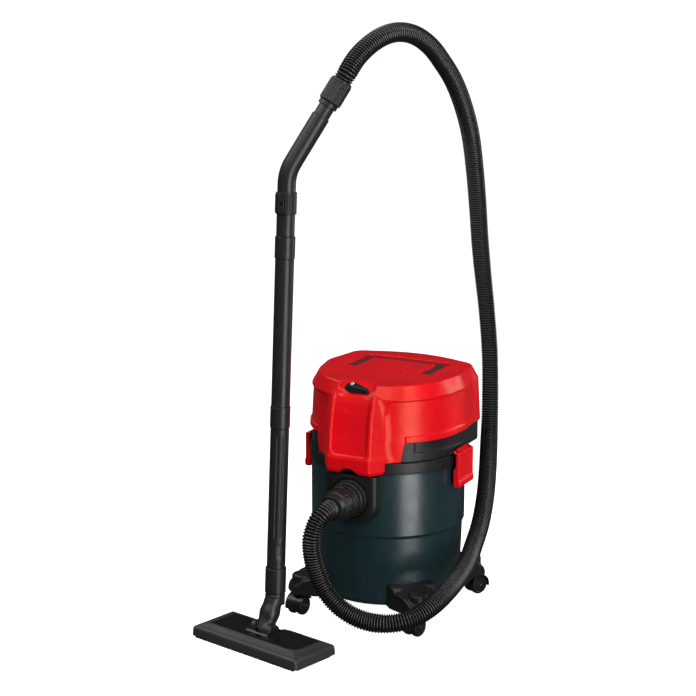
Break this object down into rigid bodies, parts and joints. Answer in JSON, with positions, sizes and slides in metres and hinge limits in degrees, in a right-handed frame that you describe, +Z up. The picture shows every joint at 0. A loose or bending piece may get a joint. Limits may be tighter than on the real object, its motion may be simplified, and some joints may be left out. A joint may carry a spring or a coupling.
{
  "type": "shop vacuum",
  "caption": "Wet and dry canister vacuum on swivel casters, with a lift-off motor head, side latches, folding carry handle, corrugated hose, jointed wand and floor nozzle.",
  "frame": {"origin": "middle of the footprint of everything but the hose, on the floor", "axes": "+Z up, -Y out of the hose inlet at the front, +X to the right of someone who looks along +Y"},
  "size_m": [0.4774, 0.7344, 1.1915],
  "materials": {
    "tank_plastic": "satin moulded, dark petrol",
    "red_plastic": "glossy moulded",
    "black_plastic": "satin moulded",
    "wheel_plastic": "satin moulded",
    "hose_plastic": "glossy corrugated",
    "rubber": "matt",
    "bristle": "bristle strip",
    "steel": "ground",
    "motor_steel": "laminated",
    "fan_alloy": "pressed",
    "filter_foam": "open-cell foam",
    "float_plastic": "matt"
  },
  "bodies": {
    "vacuum": {"tank_shell": "tank_plastic", "tank_collar": "black_plastic", "inlet_housing": "black_plastic", "inlet_socket": "black_plastic", "hose_inlet_cuff": "black_plastic", "inlet_deflector": "black_plastic", "hose": "hose_plastic", "grip_tube": "black_plastic", "upper_tube": "black_plastic", "lower_tube": "black_plastic", "caster_bracket_front_right": "black_plastic", "caster_bracket_front_left": "black_plastic", "caster_bracket_rear_right": "black_plastic", "caster_bracket_rear_left": "black_plastic"},
    "head": {"head_base": "black_plastic", "head_cover": "red_plastic", "handle_pin_right": "steel", "handle_pin_left": "steel", "exhaust_grille": "black_plastic", "cord_gland": "rubber", "head_seal": "rubber", "fan_housing": "black_plastic", "motor_body": "motor_steel", "filter_basket": "black_plastic", "switch_body": "black_plastic", "latch_pin_right": "steel", "latch_pin_left": "steel"},
    "rotor": {"fan": "fan_alloy", "motor_shaft": "steel"},
    "filter": {"filter_sleeve": "filter_foam"},
    "float": {"float_ball": "float_plastic"},
    "handle": {"carry_handle": "black_plastic"},
    "switch": {"switch_knob": "black_plastic"},
    "latch_r": {"latch_right": "red_plastic"},
    "latch_l": {"latch_left": "red_plastic"},
    "lock_ring": {"inlet_lock_ring": "black_plastic"},
    "air_control": {"air_ring": "black_plastic"},
    "hose_cuff": {"hose_wand_cuff": "black_plastic"},
    "neck": {"nozzle_neck": "black_plastic"},
    "nozzle": {"nozzle_body": "black_plastic", "nozzle_sole": "black_plastic", "brush_strip_front": "bristle", "brush_strip_rear": "bristle"},
    "caster_front_right": {"caster_fork_front_right": "black_plastic", "caster_axle_front_right": "steel"},
    "wheel_a_front_right": {"caster_wheel_a_front_right": "wheel_plastic"},
    "wheel_b_front_right": {"caster_wheel_b_front_right": "wheel_plastic"},
    "caster_front_left": {"caster_fork_front_left": "black_plastic", "caster_axle_front_left": "steel"},
    "wheel_a_front_left": {"caster_wheel_a_front_left": "wheel_plastic"},
    "wheel_b_front_left": {"caster_wheel_b_front_left": "wheel_plastic"},
    "caster_rear_right": {"caster_fork_rear_right": "black_plastic", "caster_axle_rear_right": "steel"},
    "wheel_a_rear_right": {"caster_wheel_a_rear_right": "wheel_plastic"},
    "wheel_b_rear_right": {"caster_wheel_b_rear_right": "wheel_plastic"},
    "caster_rear_left": {"caster_fork_rear_left": "black_plastic", "caster_axle_rear_left": "steel"},
    "wheel_a_rear_left": {"caster_wheel_a_rear_left": "wheel_plastic"},
    "wheel_b_rear_left": {"caster_wheel_b_rear_left": "wheel_plastic"}
  },
  "joints": [
    {"name": "head_lift", "type": "slide", "parent": "vacuum", "child": "head", "axis": [0, 0, 1], "range_m": [0, 0.25]},
    {"name": "motor_spin", "type": "hinge", "parent": "head", "child": "rotor", "pos_m": [0.0343, 0.12694, 0.4], "axis": [0, 0, 1], "continuous": true},
    {"name": "filter_pull_off", "type": "slide", "parent": "head", "child": "filter", "axis": [0, 0, -1], "range_m": [0, 0.1]},
    {"name": "float_rise", "type": "slide", "parent": "head", "child": "float", "axis": [0, 0, 1], "range_m": [0, 0.045]},
    {"name": "handle_fold", "type": "hinge", "parent": "head", "child": "handle", "pos_m": [0.0343, 0.13194, 0.4885], "axis": [1, 0, 0], "range_deg": [0, 92]},
    {"name": "switch_turn", "type": "hinge", "parent": "head", "child": "switch", "pos_m": [0.0283, -0.01366, 0.48625], "axis": [0, -0.4226, 0.9063], "range_deg": [-60, 0]},
    {"name": "latch_right_swing", "type": "hinge", "parent": "head", "child": "latch_r", "pos_m": [0.2003, 0.12694, 0.3465], "axis": [0, -1, 0], "range_deg": [0, 60]},
    {"name": "latch_left_swing", "type": "hinge", "parent": "head", "child": "latch_l", "pos_m": [-0.1317, 0.12694, 0.3465], "axis": [0, 1, 0], "range_deg": [0, 60]},
    {"name": "lock_ring_turn", "type": "hinge", "parent": "vacuum", "child": "lock_ring", "pos_m": [0.0343, -0.07306, 0.273], "axis": [0, -1, 0], "range_deg": [0, 40]},
    {"name": "air_ring_turn", "type": "hinge", "parent": "vacuum", "child": "air_control", "pos_m": [-0.0536, -0.13249, 0.86371], "axis": [0.0124, 0.0499, 0.9987], "range_deg": [0, 60]},
    {"name": "hose_cuff_swivel", "type": "hinge", "parent": "vacuum", "child": "hose_cuff", "pos_m": [0.00476, -0.07963, 1.04237], "axis": [0.4046, 0.3504, 0.8447], "continuous": true},
    {"name": "neck_swivel", "type": "hinge", "parent": "vacuum", "child": "neck", "pos_m": [-0.06292, -0.16984, 0.1167], "axis": [0.0124, 0.0499, 0.9987], "range_deg": [-30, 30]},
    {"name": "nozzle_tilt", "type": "hinge", "parent": "neck", "child": "nozzle", "pos_m": [-0.07073, -0.20118, 0.032], "axis": [0.9703, -0.2419, 0], "range_deg": [-25, 45]},
    {"name": "swivel_front_right", "type": "hinge", "parent": "vacuum", "child": "caster_front_right", "pos_m": [0.16512, -0.00387, 0.04], "axis": [0, 0, 1], "continuous": true},
    {"name": "roll_a_front_right", "type": "hinge", "parent": "caster_front_right", "child": "wheel_a_front_right", "pos_m": [0.1633, -0.01472, 0.02], "axis": [-0.9863, 0.165, 0], "continuous": true},
    {"name": "roll_b_front_right", "type": "hinge", "parent": "caster_front_right", "child": "wheel_b_front_right", "pos_m": [0.1633, -0.01472, 0.02], "axis": [-0.9863, 0.165, 0], "continuous": true},
    {"name": "swivel_front_left", "type": "hinge", "parent": "vacuum", "child": "caster_front_left", "pos_m": [-0.09652, -0.00387, 0.04], "axis": [0, 0, 1], "continuous": true},
    {"name": "roll_a_front_left", "type": "hinge", "parent": "caster_front_left", "child": "wheel_a_front_left", "pos_m": [-0.09728, -0.01485, 0.02], "axis": [-0.9976, 0.0698, 0], "continuous": true},
    {"name": "roll_b_front_left", "type": "hinge", "parent": "caster_front_left", "child": "wheel_b_front_left", "pos_m": [-0.09728, -0.01485, 0.02], "axis": [-0.9976, 0.0698, 0], "continuous": true},
    {"name": "swivel_rear_right", "type": "hinge", "parent": "vacuum", "child": "caster_rear_right", "pos_m": [0.16512, 0.25776, 0.04], "axis": [0, 0, 1], "continuous": true},
    {"name": "roll_a_rear_right", "type": "hinge", "parent": "caster_rear_right", "child": "wheel_a_rear_right", "pos_m": [0.17011, 0.26756, 0.02], "axis": [0.891, -0.454, 0], "continuous": true},
    {"name": "roll_b_rear_right", "type": "hinge", "parent": "caster_rear_right", "child": "wheel_b_rear_right", "pos_m": [0.17011, 0.26756, 0.02], "axis": [0.891, -0.454, 0], "continuous": true},
    {"name": "swivel_rear_left", "type": "hinge", "parent": "vacuum", "child": "caster_rear_left", "pos_m": [-0.09652, 0.25776, 0.04], "axis": [0, 0, 1], "continuous": true},
    {"name": "roll_a_rear_left", "type": "hinge", "parent": "caster_rear_left", "child": "wheel_a_rear_left", "pos_m": [-0.10028, 0.26809, 0.02], "axis": [0.9397, 0.342, 0], "continuous": true},
    {"name": "roll_b_rear_left", "type": "hinge", "parent": "caster_rear_left", "child": "wheel_b_rear_left", "pos_m": [-0.10028, 0.26809, 0.02], "axis": [0.9397, 0.342, 0], "continuous": true}
  ]
}
